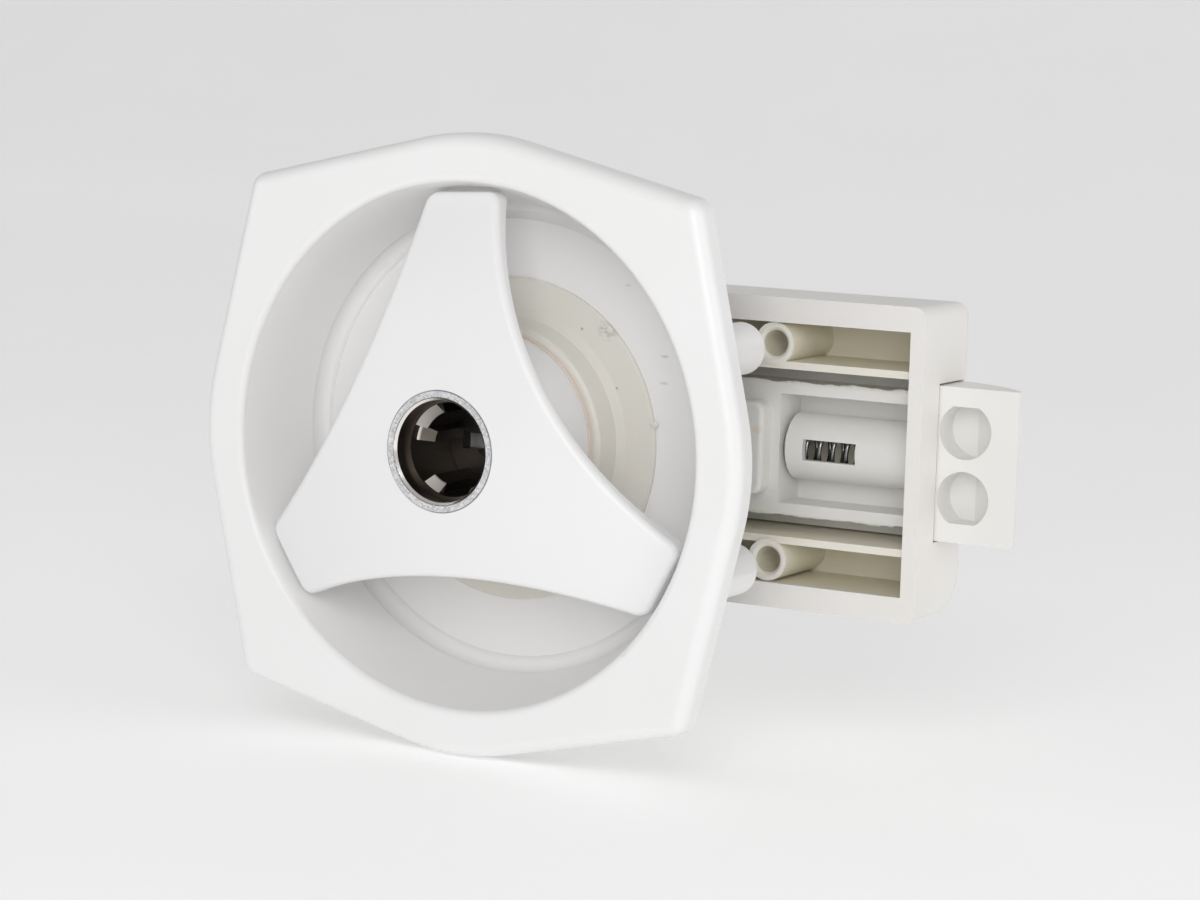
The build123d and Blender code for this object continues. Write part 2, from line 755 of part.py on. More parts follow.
# room for two lightening pockets in the nose, each with a flat side
with BuildPart() as nose_pockets:
    for side in (-1, 1):
        with BuildSketch(facing(carriage_y + nose_pocket_depth)):
            with Locations((nose_pocket_centre, side * nose_pocket_pitch / 2)):
                Circle(nose_pocket_r)
            outer_side = nose_pocket_pitch / 2 + nose_pocket_flat + nose_pocket_r
            with Locations((nose_pocket_centre, side * outer_side)):
                Rectangle(4 * nose_pocket_r, 2 * nose_pocket_r, mode=Mode.SUBTRACT)
        extrude(amount=nose_pocket_depth + 1)
    # the floor rises towards the tip, as the ramp behind it does
    with BuildSketch(Plane.XY):
        with BuildLine():
            Polyline(
                (nose_pocket_centre, carriage_y + nose_pocket_depth),
                (nose_pocket_centre + nose_pocket_r, carriage_y + nose_pocket_shallow),
                (nose_pocket_centre + 2 * nose_pocket_r, carriage_y + nose_pocket_shallow),
                (nose_pocket_centre + 2 * nose_pocket_r, carriage_y + 2 * nose_pocket_depth),
                (nose_pocket_centre, carriage_y + 2 * nose_pocket_depth),
                close=True,
            )
        make_face()
    extrude(amount=nose_half, both=True, mode=Mode.SUBTRACT)

with BuildPart() as bolt:
    # thin plate that slides on the case floor under the cam
    with BuildSketch(facing(bolt_back_y)):
        with Locations(((case_right - nose_root - bolt_tail) / 2, 0)):
            Rectangle(case_right - nose_root + bolt_tail, 2 * bolt_half)
    extrude(amount=carriage_floor_t)
    # deep carriage
    with BuildSketch(facing(bolt_back_y)):
        with Locations(((carriage_left + case_right) / 2, 0)):
            Rectangle(case_right - carriage_left, 2 * carriage_half)
    extrude(amount=nose_root_t)
    # pocket in the carriage
    pocket_right = case_right - case_wall - bolt_throw / 8
    with BuildSketch(facing(bolt_plate_y)):
        with Locations(((carriage_pocket_left + pocket_right) / 2, 0)):
            Rectangle(pocket_right - carriage_pocket_left, 2 * carriage_pocket_half)
    extrude(amount=nose_root_t, mode=Mode.SUBTRACT)
    # spring tube down the middle of the pocket
    tube_y = carriage_y + tube_r + tube_setback
    with BuildSketch(Plane.YZ.offset(tube_left)):
        with Locations((tube_y, 0)):
            Circle(tube_r)
        with Locations((bolt_back_y + tube_r, 0)):
            Rectangle(2 * tube_r, 4 * tube_r, mode=Mode.SUBTRACT)
    extrude(amount=case_right - tube_left - case_wall)
    # raised pad
    with BuildSketch(facing(carriage_y)):
        with Locations(((carriage_left + pad_right) / 2, 0)):
            RectangleRounded(pad_right - carriage_left, 2 * pad_half, pad_round)
    extrude(amount=pad_proud)
    pad_top = bolt.faces().filter_by(Plane.XZ).sort_by(Axis.Y)[0]
    fillet(pad_top.edges(), pad_edge_round)
    # follower that the cam's lobe pushes
    with BuildSketch(facing(bolt_plate_y)):
        follower_inner = cam_hub_r + follower_hub_gap
        with Locations((follower_x - follower_t / 2, -(bolt_half + follower_inner) / 2)):
            Rectangle(follower_t, bolt_half - follower_inner)
    extrude(amount=bolt_plate_y - cam_front_y)
    # nose with the slamming ramp on its inner side
    with BuildSketch(Plane.XY):
        with BuildLine():
            root_front = (case_right - nose_root, carriage_y)
            tip_front = (nose_end_x, carriage_y)
            tip_back = (nose_end_x, carriage_y + nose_tip_t)
            ramp_start = (case_right + nose_ramp_start, bolt_back_y)
            root_back = (case_right - nose_root, bolt_back_y)
            ramp_mid = (
                case_right + nose_ramp_mid[0] * nose_length,
                carriage_y + nose_tip_t + nose_ramp_mid[1] * (nose_root_t - nose_tip_t),
            )
            Polyline(root_back, root_front, tip_front, tip_back)
            ThreePointArc(tip_back, ramp_mid, ramp_start)
            Line(ramp_start, root_back)
        make_face()
    extrude(amount=nose_half, both=True)
    add(nose_pockets.part, mode=Mode.SUBTRACT)
    # spring bore, open at the back, and room for the anchor tab over the whole throw
    bore_left = anchor_x - anchor_side_gap
    with BuildSketch(Plane.YZ.offset(bore_left)):
        with Locations((spring_y, 0)):
            Circle(spring_bore_r)
        with Locations((spring_y + spring_bore_r, 0)):
            Rectangle(2 * spring_bore_r, 2 * spring_bore_r)
    extrude(amount=spring_right - bore_left, mode=Mode.SUBTRACT)
    # window that shows the spring
    with BuildSketch(facing(spring_y)):
        with Locations((window_left + window_length / 2, 0)):
            Rectangle(window_length, window_height)
    extrude(amount=spring_y - carriage_y + 1, mode=Mode.SUBTRACT)
    # slot for the cam's journal
    slot_half = cam_journal_r + journal_slot_gap
    with BuildSketch(facing(bolt_back_y + 1)):
        with Locations((bolt_throw / 2, 0)):
            SlotOverall(bolt_throw + 2 * slot_half, 2 * slot_half)
    extrude(amount=carriage_floor_t + 2, mode=Mode.SUBTRACT)
save(bolt.part, "bolt")

# ---------------------------------------------------------------- bolt spring
with BuildPart() as bolt_spring:
    with BuildLine():
        coil = Helix(
            spring_pitch,
            spring_turns * spring_pitch,
            spring_r - spring_wire_r,
            center=(spring_left + spring_wire_r, spring_y, 0),
            direction=(1, 0, 0),
        )
    with BuildSketch(Plane(coil @ 0, z_dir=coil % 0)):
        Circle(spring_wire_r)
    sweep(is_frenet=True)
save(bolt_spring.part, "bolt_spring")
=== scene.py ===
# %% [markdown]
# # A rotary-knob slam latch, finished in Blender
#
# The CAD model holds every shape and size of this latch. This script gives it its looks: the
# satin white mouldings, the ivory nylon flange, the plated barrel sleeve and the springs. It
# also adds what a mould and a winding machine leave behind, such as flash along the bolt's
# edges. Everything is in metres, in the CAD model's own frame: +Z up, -Y out of the door.

import json
import math

import bmesh
import bpy
from mathutils import Matrix, Vector, noise


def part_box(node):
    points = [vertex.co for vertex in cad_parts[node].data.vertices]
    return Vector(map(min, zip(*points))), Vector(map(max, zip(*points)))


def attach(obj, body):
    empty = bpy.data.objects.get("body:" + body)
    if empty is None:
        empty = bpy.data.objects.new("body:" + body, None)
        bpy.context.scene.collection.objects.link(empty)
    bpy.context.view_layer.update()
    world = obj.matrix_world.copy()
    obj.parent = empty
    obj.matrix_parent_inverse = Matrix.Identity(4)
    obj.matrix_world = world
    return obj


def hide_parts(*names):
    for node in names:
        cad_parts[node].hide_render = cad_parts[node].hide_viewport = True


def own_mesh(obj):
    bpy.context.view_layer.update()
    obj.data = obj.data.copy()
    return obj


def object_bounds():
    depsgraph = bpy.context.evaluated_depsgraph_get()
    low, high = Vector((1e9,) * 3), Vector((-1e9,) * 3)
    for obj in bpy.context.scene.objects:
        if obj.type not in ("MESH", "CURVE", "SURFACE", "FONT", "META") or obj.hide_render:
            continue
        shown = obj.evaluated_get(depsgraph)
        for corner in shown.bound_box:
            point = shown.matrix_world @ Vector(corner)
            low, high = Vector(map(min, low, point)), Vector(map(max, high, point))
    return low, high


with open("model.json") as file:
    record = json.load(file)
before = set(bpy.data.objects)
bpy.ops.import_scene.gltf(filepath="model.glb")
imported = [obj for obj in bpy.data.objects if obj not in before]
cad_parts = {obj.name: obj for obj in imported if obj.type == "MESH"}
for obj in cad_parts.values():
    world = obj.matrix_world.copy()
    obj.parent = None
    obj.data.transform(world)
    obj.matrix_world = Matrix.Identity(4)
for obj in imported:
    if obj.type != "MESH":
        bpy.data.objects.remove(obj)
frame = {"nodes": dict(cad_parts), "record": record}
cad_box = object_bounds()
mm = 0.001
fixed_body = "bezel_and_case"
bolt_body = "bolt"
# the import brings plain materials under the names that the finishes below take over
for plain in list(bpy.data.materials):
    bpy.data.materials.remove(plain)
print("nodes:", len(frame["nodes"]))

# %% [markdown]
# ## Numbers that flow through a node tree
#
# Both shaders and Geometry Nodes do arithmetic with Math nodes. Writing them one by one hides
# the formula, so a small class wraps a socket and turns +, -, * and / into Math nodes. The
# reflected forms let a plain number stand on the left, as in 1 - mask.


# %% A socket that does arithmetic
class Number:
    """A value in a node tree. Arithmetic on it adds Math nodes."""

    def __init__(self, tree, socket):
        self.tree = tree
        self.socket = socket

    def math(self, operation, *values, clamp=False):
        node = self.tree.add("ShaderNodeMath", operation=operation, use_clamp=clamp)
        for index, value in enumerate(values):
            self.tree.put(node.inputs[index], value)
        return Number(self.tree, node.outputs[0])

    def __add__(self, other):
        return self.math("ADD", self, other)

    def __radd__(self, other):
        return self.math("ADD", other, self)

    def __sub__(self, other):
        return self.math("SUBTRACT", self, other)

    def __rsub__(self, other):
        return self.math("SUBTRACT", other, self)

    def __mul__(self, other):
        return self.math("MULTIPLY", self, other)

    def __rmul__(self, other):
        return self.math("MULTIPLY", other, self)

    def __truediv__(self, other):
        return self.math("DIVIDE", self, other)

    def __rtruediv__(self, other):
        return self.math("DIVIDE", other, self)

    def __pow__(self, other):
        return self.math("POWER", self, other)

    def clamped(self):
        return self.math("ADD", self, 0.0, clamp=True)

    def above(self, level, softness):
        """0 below the level, 1 above it, with a soft step between."""
        return ((self - (level - softness)) / (2 * softness)).clamped()

    def below(self, level, softness):
        return 1 - self.above(level, softness)


print("operators:", [name for name in vars(Number) if name.startswith("__")])

# %% [markdown]
# ## One way to add any node
#
# Adding a node takes three steps: make it, choose its settings, then give each socket a value
# or a link. A setting can change which sockets a node has, so settings come first. One method
# does all three for shader nodes and geometry nodes alike, and saves repeating them.


# %% A tree that adds nodes
class Tree:
    """A node tree with one method that adds any node: settings first, then sockets."""

    def __init__(self, node_tree):
        self.nodes = node_tree.nodes
        self.links = node_tree.links

    def put(self, socket, value):
        if isinstance(value, Number):
            value = value.socket
        if isinstance(value, bpy.types.NodeSocket):
            self.links.new(value, socket)
        else:
            socket.default_value = value

    def add(self, kind, inputs=None, **settings):
        node = self.nodes.new(kind)
        for name, value in settings.items():
            setattr(node, name, value)
        for name, value in (inputs or {}).items():
            self.put(node.inputs[name], value)
        return node

    def number(self, kind, inputs=None, output=0, **settings):
        return Number(self, self.add(kind, inputs, **settings).outputs[output])


print("tree helpers:", [name for name in vars(Tree) if not name.startswith("__")])

# %% [markdown]
# ## A finish
#
# Each finish is one material with one Principled shader. Patterns are measured in millimetres
# on Object coordinates, so a grain has its real size on every piece. A finish starts from a
# colour and a roughness, and its helpers add noise, cells, masks along an axis and bump.


# %% The finish class
class Finish(Tree):
    """A procedural material for one kind of surface."""

    def __init__(self, name, **constants):
        self.material = bpy.data.materials.new(name)
        self.material.use_nodes = True
        super().__init__(self.material.node_tree)
        self.nodes.clear()
        self.shader = self.add("ShaderNodeBsdfPrincipled")
        output = self.add("ShaderNodeOutputMaterial")
        self.links.new(self.shader.outputs[0], output.inputs[0])
        self.set(**constants)
        place = self.add("ShaderNodeTexCoord").outputs["Object"]
        in_mm = self.add("ShaderNodeVectorMath", {0: place, "Scale": 1 / mm}, operation="SCALE")
        self.place = in_mm.outputs[0]
        axes = self.add("ShaderNodeSeparateXYZ", {0: self.place})
        self.x, self.y, self.z = (Number(self, axes.outputs[k]) for k in range(3))
        self.normal = None

    def set(self, **values):
        for name, value in values.items():
            self.put(self.shader.inputs[name.replace("_", " ")], value)

    def stretched(self, x=1.0, y=1.0, z=1.0):
        node = self.add("ShaderNodeMapping", {"Vector": self.place, "Scale": (x, y, z)})
        return node.outputs[0]

    def noise(self, size_mm, detail=3.0, roughness=0.5, distortion=0.0, where=None):
        inputs = {
            "Vector": where or self.place,
            "Scale": 1 / size_mm,
            "Detail": detail,
            "Roughness": roughness,
            "Distortion": distortion,
        }
        return self.number("ShaderNodeTexNoise", inputs)

    def cells(self, size_mm, output="Distance", where=None):
        inputs = {"Vector": where or self.place, "Scale": 1 / size_mm}
        return self.number("ShaderNodeTexVoronoi", inputs, output=output)

    def mix(self, share, low, high):
        node = self.add("ShaderNodeMix", data_type="RGBA")
        self.put(node.inputs[0], share)
        for socket, colour in ((node.inputs[6], low), (node.inputs[7], high)):
            self.put(socket, (*colour, 1.0) if isinstance(colour, tuple) else colour)
        return node.outputs[2]

    def from_axis(self):
        """Distance in millimetres from the knob's axis."""
        return (self.x * self.x + self.z * self.z) ** 0.5

    def near(self, x, z, reach, softness):
        """1 within reach of a spot given by its X and Z in millimetres."""
        across, up = self.x - x, self.z - z
        return ((across * across + up * up) ** 0.5).below(reach, softness)

    def stroke(self, start, end, half_width):
        """1 along a straight stroke between two (x, z) places, thinner towards its ends."""
        run = (end[0] - start[0], end[1] - start[1])
        length = math.hypot(*run)
        along = ((self.x - start[0]) * run[0] + (self.z - start[1]) * run[1]) / length ** 2
        aside = ((self.x - start[0]) * run[1] - (self.z - start[1]) * run[0]) / length
        taper = (along * (1 - along) * 4).clamped()
        return (aside * aside).below(half_width ** 2, half_width ** 2 * 0.6) * taper

    def bump(self, height, depth_mm):
        inputs = {"Height": height, "Distance": depth_mm * mm}
        if self.normal:
            inputs["Normal"] = self.normal
        self.normal = self.add("ShaderNodeBump", inputs).outputs[0]
        self.set(Normal=self.normal)


print("helpers:", [name for name in vars(Finish) if not name.startswith("__")])

# %% [markdown]
# ## Moulded white plastic
#
# The bezel, the knob, the bolt, the case, the flange and the wear ring are injection moulded.
# They share one recipe: a faint cloudiness in the colour where the melt cooled unevenly, an
# orange-peel skin about a millimetre across, and fine rubbing marks that only show in the
# gloss. A function holds the recipe, and each piece changes the tint and the amounts.


# %% One recipe for every moulding
def moulded(name, tint, cloud, roughness, peel_mm=1.1, peel_depth=0.006, grain_depth=0.0015):
    """White moulded plastic: tint and cloud are the lighter and the darker colour."""
    finish = Finish(name, IOR=1.5)
    clouds = finish.noise(17.0, detail=2.0).above(0.5, 0.28)
    finish.colour = finish.mix(clouds * 0.7, tint, cloud)
    rubbed = finish.noise(4.0, detail=5.0, roughness=0.7, where=finish.stretched(x=0.5, z=2.2))
    finish.gloss = roughness + (rubbed - 0.5) * 0.16
    finish.set(Base_Color=finish.colour, Roughness=finish.gloss)
    finish.bump(finish.noise(peel_mm, detail=2.0), peel_depth)
    finish.bump(finish.noise(0.16, detail=2.0), grain_depth)
    return finish


bezel_white = moulded("bezel_white", (0.865, 0.86, 0.86), (0.835, 0.83, 0.82), 0.34)
knob_white = moulded("knob_white", (0.85, 0.845, 0.85), (0.825, 0.82, 0.815), 0.34, peel_mm=1.4)
bolt_white = moulded("bolt_white", (0.84, 0.83, 0.81), (0.80, 0.79, 0.76), 0.40)
case_white = moulded("case_white", (0.85, 0.83, 0.805), (0.81, 0.785, 0.745), 0.42)
# the flange's ivory is its own colour, but its tint is painted darker as shade for where it lies
# deep in the bowl
flange_ivory = moulded("flange_ivory", (0.75, 0.73, 0.675), (0.71, 0.685, 0.62), 0.38)
ring_peach = moulded("ring_peach", (0.80, 0.69, 0.61), (0.76, 0.63, 0.54), 0.45, peel_mm=0.6)
mouldings = (bezel_white, knob_white, bolt_white, case_white, flange_ivory, ring_peach)
print("mouldings:", [finish.material.name for finish in mouldings])

# %% [markdown]
# ## Scuffs in the bowl
#
# The bowl's floor has a few grey scuffs beside the flange, where a ring or a key has touched
# it. They could be painted by hand, but stretched cells give short strokes by rule: a mask of
# noise keeps only a few, and limits along X and Z keep them to one small patch.


# %% Grey strokes on the bezel
scuff_patch = (
    bezel_white.x.above(15, 5)
    * bezel_white.x.below(33, 5)
    * bezel_white.z.above(9, 4)
    * bezel_white.z.below(28, 5)
)
strokes = bezel_white.cells(2.6, where=bezel_white.stretched(x=0.45, z=1.5)).below(0.12, 0.05)
sparse = bezel_white.noise(5.0, detail=1.0).above(0.60, 0.04)
scuffs = strokes * sparse * scuff_patch
scuff_grey = (0.42, 0.42, 0.43)
bezel_white.set(
    Base_Color=bezel_white.mix(scuffs * 0.55, bezel_white.colour, scuff_grey),
    Roughness=bezel_white.gloss + scuffs * 0.25,
)
print("scuffs lie from X 15 to 33 mm and from Z 9 to 28 mm")

# %% [markdown]
# ## Marks on the flange
#
# The flange is soft nylon and picks up dirt. It has a grey smudge near its edge, two specks
# and, on its collar, a torn dark scratch left by a tool. Each is a distance measured from its
# own place: a round spot for the smudge and the specks, and a line for the scratch.


# %% Smudge, specks and scratch
smudge_place = (17.2, 19.0)
speck_places = ((12.5, 18.8, 0.22), (19.2, 9.8, 0.20))
scratch_start, scratch_end = (9.1, 17.7), (12.2, 15.7)
collar_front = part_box("bearing_flange")[0].y / mm
smear = flange_ivory.noise(0.9, detail=4.0, roughness=0.7).above(0.52, 0.06)
smudge = flange_ivory.near(*smudge_place, 1.3, 0.9) * smear * 0.6
first_speck, second_speck = (
    flange_ivory.near(x, z, reach, 0.08) for x, z, reach in speck_places
)
specks = (first_speck + second_speck) * 0.7
on_collar = flange_ivory.y.below(collar_front + 1.2, 0.3)
torn = flange_ivory.noise(0.5, detail=3.0) * 1.4
scratch = flange_ivory.stroke(scratch_start, scratch_end, 0.13) * on_collar * torn.clamped()
worn = flange_ivory.mix(smudge + specks, flange_ivory.colour, (0.30, 0.28, 0.26))
flange_ivory.set(Base_Color=flange_ivory.mix(scratch, worn, (0.06, 0.055, 0.05)))
flange_ivory.bump(1 - scratch, 0.12)
print("scratch is", round(math.dist(scratch_start, scratch_end), 1), "mm long")

# %% [markdown]
# ## The case, with painted bounce light inside
#
# The case's plastic is a warm white. Its pockets are painted yellower than its outside, as
# painted bounce light that stands in for light going from wall to wall there. Faint yellow
# streaks show where the melt flowed. The inside is found from the case's own box, less the
# thickness of its walls.


# %% Painted bounce light inside the case, and its flow streaks
case_low, case_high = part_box("latch_case")
case_wall = 2.4
half_wall = case_wall / 2
inside = (
    case_white.y.above(case_low.y / mm + half_wall, 0.8)
    * case_white.y.below(case_high.y / mm - half_wall, 0.4)
    * case_white.x.above(case_low.x / mm + case_wall, 0.3)
    * case_white.z.above(case_low.z / mm + case_wall, 0.3)
    * case_white.z.below(case_high.z / mm - case_wall, 0.3)
    * case_white.x.below(case_high.x / mm - case_wall, 0.3)
)
flow = case_white.stretched(x=0.25, y=0.6)
streaks = case_white.noise(5.0, detail=3.0, distortion=1.2, where=flow).above(0.60, 0.08)
# painted bounce light: the inside is coloured yellower, standing in for light that goes from wall
# to wall
bounce_warmed_colour = case_white.mix(inside, case_white.colour, (0.83, 0.79, 0.66))
case_white.set(Base_Color=case_white.mix(streaks * 0.5 * inside, bounce_warmed_colour, (0.80, 0.73, 0.55)))
print("case is", [round(v / mm, 1) for v in case_high - case_low], "mm")

# %% [markdown]
# ## Stains, grime and painted shade
#
# A few places are darker than the rest of their piece: yellow spots on the bolt's pad, grime
# where the wear ring wipes the hub, and a line of painted shade round the sleeve, where shade
# falls in the gap in which it sits in the knob. Each follows a distance, along X or from the
# knob's axis, and noise breaks it up.


# %% Pad, wear ring and the painted shade round the sleeve
pad_end_x = 38
pad_stain = bolt_white.noise(2.4, detail=2.0).above(0.66, 0.05) * bolt_white.x.below(pad_end_x, 2)
bolt_white.set(
    Base_Color=bolt_white.mix(pad_stain * 0.5, bolt_white.colour, (0.78, 0.68, 0.48))
)

ring_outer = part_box("wear_ring")[1].x / mm
wiped = ring_peach.from_axis().below(ring_outer - 0.45, 0.12)
grime = wiped * ring_peach.noise(3.0, detail=3.0).above(0.40, 0.15)
ring_peach.set(Base_Color=ring_peach.mix(grime * 0.7, ring_peach.colour, (0.30, 0.19, 0.13)))

seat_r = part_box("key_sleeve")[1].x / mm
# painted shade: a dark ring on the knob just outside the sleeve stands in for the shade in the
# gap round it
gap_shade_line = knob_white.from_axis().below(seat_r + 0.16, 0.07)
uneven = knob_white.noise(6.0, detail=2.0).above(0.42, 0.2)
painted_gap_shade = gap_shade_line * (0.25 + uneven * 0.6)
knob_white.set(
    Base_Color=knob_white.mix(painted_gap_shade, knob_white.colour, (0.07, 0.055, 0.045))
)
print("sleeve's joint at a radius of", round(seat_r, 2), "mm")

# %% [markdown]
# ## The plated sleeve
#
# The barrel sleeve is a plated zinc casting. Its end face sparkles, because the plating follows
# a rough cast skin and each cell of that skin tilts its own way; the cells are also painted
# lighter and darker as a painted glint. A smooth bevel runs round its mouth, with a painted
# highlight in its colour. The bore is dull and painted near black as shade, while the lands'
# front slopes, which catch the light, keep a pale metal colour. Depth along the knob's axis and
# distance from it tell these four places apart.


# %% Face with painted glint, bevel with painted highlight, bore with painted shade, and lands
sleeve_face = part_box("key_sleeve")[0].y / mm
bevel_depth = 0.5
land_depth = 5.4
bore_step_r = 7.5
sleeve_metal = Finish("sleeve_metal", Metallic=1.0)
on_face = sleeve_metal.y.below(sleeve_face + 0.06, 0.05)
grit = sleeve_metal.cells(0.34, output="Color")
fine_grit = sleeve_metal.noise(0.13, detail=2.0)
# painted glint: each cell's colour runs from grey to near white, standing in for the sparkle
painted_glint = sleeve_metal.mix(grit, (0.50, 0.50, 0.51), (0.95, 0.95, 0.97))
reamed = sleeve_metal.noise(3.0, detail=4.0, where=sleeve_metal.stretched(y=0.2))
# painted shade: the bore's near-black colour stands in for the shade deep inside it
painted_bore_shade = sleeve_metal.mix(reamed, (0.085, 0.073, 0.062), (0.21, 0.18, 0.155))
inside_step = sleeve_metal.from_axis().below(bore_step_r, 0.04)
land_front = sleeve_metal.y.below(sleeve_face + land_depth, 0.1) * inside_step
tone_with_painted_light = sleeve_metal.mix(land_front, painted_bore_shade, (0.72, 0.68, 0.64))
# painted highlight: the bevel is coloured brighter than the metal, besides being smoother
bevel = sleeve_metal.y.below(sleeve_face + bevel_depth, 0.04)
tone_with_painted_light = sleeve_metal.mix(bevel, tone_with_painted_light, (0.92, 0.89, 0.84))
sleeve_metal.set(
    Base_Color=sleeve_metal.mix(on_face, tone_with_painted_light, painted_glint),
    Roughness=0.36 + land_front * 0.12 - bevel * 0.14 + on_face * (fine_grit * 0.2 + 0.04),
)
sleeve_metal.bump(grit * on_face, 0.07)
sleeve_metal.bump(fine_grit * on_face, 0.03)
print("sleeve's face is at Y", round(sleeve_face, 2), "mm")

# %% [markdown]
# ## Steel, zinc and castings painted dark as shade
#
# The springs are drawn wire and the washers and screws are zinc plated. The seat and the cam
# are castings coloured near black, as painted shade where they lie deep inside. All show fine
# scratches along the knob's axis and a slow staining, so one function makes them from a dark and
# a light colour.


# %% A recipe for bare and plated metal
def metal(name, dark, light, roughness):
    """Metal with fine lengthwise scratches: dark and light are the ends of its staining."""
    finish = Finish(name, Metallic=1.0)
    drawn = finish.noise(0.25, detail=3.0, where=finish.stretched(y=0.12))
    stained = finish.noise(4.0, detail=3.0)
    finish.set(
        Base_Color=finish.mix(stained * 0.6 + drawn * 0.4, dark, light),
        Roughness=roughness + (drawn - 0.5) * 0.2,
    )
    finish.bump(drawn, 0.004)
    return finish


spring_steel = metal("spring_steel", (0.20, 0.20, 0.21), (0.46, 0.46, 0.48), 0.24)
zinc_steel = metal("zinc_steel", (0.50, 0.51, 0.52), (0.70, 0.70, 0.68), 0.32)
# painted shade: the seat and the cam get a near-black metal colour that stands in for shade deep
# inside
seat_metal = metal("seat_metal", (0.035, 0.032, 0.030), (0.10, 0.092, 0.085), 0.35)
metals = (sleeve_metal, spring_steel, zinc_steel, seat_metal)
print("metals:", [finish.material.name for finish in metals])

# %% [markdown]
# ## Foam
#
# A thin closed-cell foam lies between the bezel and the door. Its pores are about half a
# millimetre across, so cells of that size darken it and dent it.


# %% Gasket foam
gasket_foam = Finish("gasket_foam")
pores = gasket_foam.cells(0.5)
gasket_foam.set(
    Base_Color=gasket_foam.mix(pores, (0.018, 0.018, 0.018), (0.060, 0.060, 0.058)),
    Roughness=0.75 + pores * 0.2,
)
gasket_foam.bump(pores, 0.08)
print("foam done")

# %% [markdown]
# ## Dress the CAD pieces
#
# The record says which finish each CAD node takes. Its slot has the same name as the finish
# here, so one loop gives every node its material.


# %% Finishes onto nodes
finishes = {
    finish.material.name: finish.material for finish in (*mouldings, *metals, gasket_foam)
}
slot_of = {part["node"]: part["material_slot"] for part in frame["record"]["subparts"]}
for node_name, cad_object in frame["nodes"].items():
    cad_object.material_slots[0].material = finishes[slot_of[node_name]]
print("dressed", len(slot_of), "nodes")

# %% [markdown]
# ## Springs that are wound
#
# A coil follows a rule, so Geometry Nodes wind it: a spiral curve, whose height is eased so that
# the end coils lie closed as on a real compression spring, swept by a round wire. The same tree
# makes any spring from its length, radius, wire and turns.


# %% The winding tree
def winding_tree():
    """Geometry Nodes that wind a compression spring along +Z."""
    group = bpy.data.node_groups.new("wound_spring", "GeometryNodeTree")
    face = group.interface
    for name, kind in (
        ("Length", "NodeSocketFloat"),
        ("Radius", "NodeSocketFloat"),
        ("Wire radius", "NodeSocketFloat"),
        ("Turns", "NodeSocketFloat"),
        ("Closed turns", "NodeSocketFloat"),
        ("Material", "NodeSocketMaterial"),
    ):
        face.new_socket(name, in_out="INPUT", socket_type=kind)
    face.new_socket("Geometry", in_out="OUTPUT", socket_type="NodeSocketGeometry")
    tree = Tree(group)
    given = tree.add("NodeGroupInput").outputs
    wire = Number(tree, given["Wire radius"])
    length = Number(tree, given["Length"])
    closed = Number(tree, given["Closed turns"])
    turns = Number(tree, given["Turns"])
    coil = tree.add("GeometryNodeCurveSpiral", {
        "Resolution": 40, "Rotations": turns, "Height": 0.0,
        "Start Radius": given["Radius"], "End Radius": given["Radius"],
    })
    along = tree.number("GeometryNodeSplineParameter")
    # each end coil lies closed: it climbs one wire thickness a turn, and the rest opens out
    end_share = closed / turns
    climb_closed = closed * wire * 2.1
    open_share = ((along - end_share) / (1 - 2 * end_share)).clamped()
    closed_share = (along / end_share).clamped() + ((along - 1 + end_share) / end_share).clamped()
    open_climb = length - 2 * climb_closed - 2 * wire
    height = wire + closed_share * climb_closed + open_share * open_climb
    lift = tree.add("ShaderNodeCombineXYZ", {"Z": height})
    lifted = tree.add("GeometryNodeSetPosition", {
        "Geometry": coil.outputs[0], "Offset": lift.outputs[0],
    })
    section = tree.add("GeometryNodeCurvePrimitiveCircle", {"Resolution": 14, "Radius": wire})
    swept = tree.add("GeometryNodeCurveToMesh", {
        "Curve": lifted.outputs[0], "Profile Curve": section.outputs["Curve"], "Fill Caps": True,
    })
    smooth = tree.add("GeometryNodeSetShadeSmooth", {"Geometry": swept.outputs[0]})
    real = tree.add("GeometryNodeRealizeInstances", {"Geometry": smooth.outputs[0]})
    painted = tree.add("GeometryNodeSetMaterial", {
        "Geometry": real.outputs[0], "Material": given["Material"],
    })
    out = tree.add("NodeGroupOutput")
    tree.links.new(painted.outputs[0], out.inputs[0])
    return group


spring_tree = winding_tree()
print("winding tree has", len(spring_tree.nodes), "nodes")

# %% [markdown]
# ## From a tree to a plain mesh
#
# A tree only works inside a modifier, and its sizes are set there by each socket's identifier.
# The evaluated object holds the result. It is copied to a mesh of its own and the modifier is
# thrown away, so that what stays is an ordinary mesh which moves with its body.


# %% Run a tree
def grown(name, group, inputs, place=None):
    """Runs a geometry tree and returns its result as a plain mesh object at the origin."""
    seed_mesh = bpy.data.meshes.new(name + "_seed")
    carrier = bpy.data.objects.new(name + "_seed", seed_mesh)
    bpy.context.scene.collection.objects.link(carrier)
    modifier = carrier.modifiers.new("grow", "NODES")
    modifier.node_group = group
    sockets = group.interface.items_tree
    identifiers = {s.name: s.identifier for s in sockets if s.in_out == "INPUT"}
    for label, value in inputs.items():
        modifier[identifiers[label]] = value
    graph = bpy.context.evaluated_depsgraph_get()
    mesh = bpy.data.meshes.new_from_object(carrier.evaluated_get(graph), depsgraph=graph)
    mesh.name = name
    bpy.data.objects.remove(carrier)
    bpy.data.meshes.remove(seed_mesh)
    if place:
        mesh.transform(place)
    piece = bpy.data.objects.new(name, mesh)
    bpy.context.scene.collection.objects.link(piece)
    print(name, "has", len(mesh.polygons), "faces")
    return piece


print("trees are run by", grown.__name__)

# %% [markdown] ## The bolt spring  It sits in the bolt's tube and shows through the little
# window.


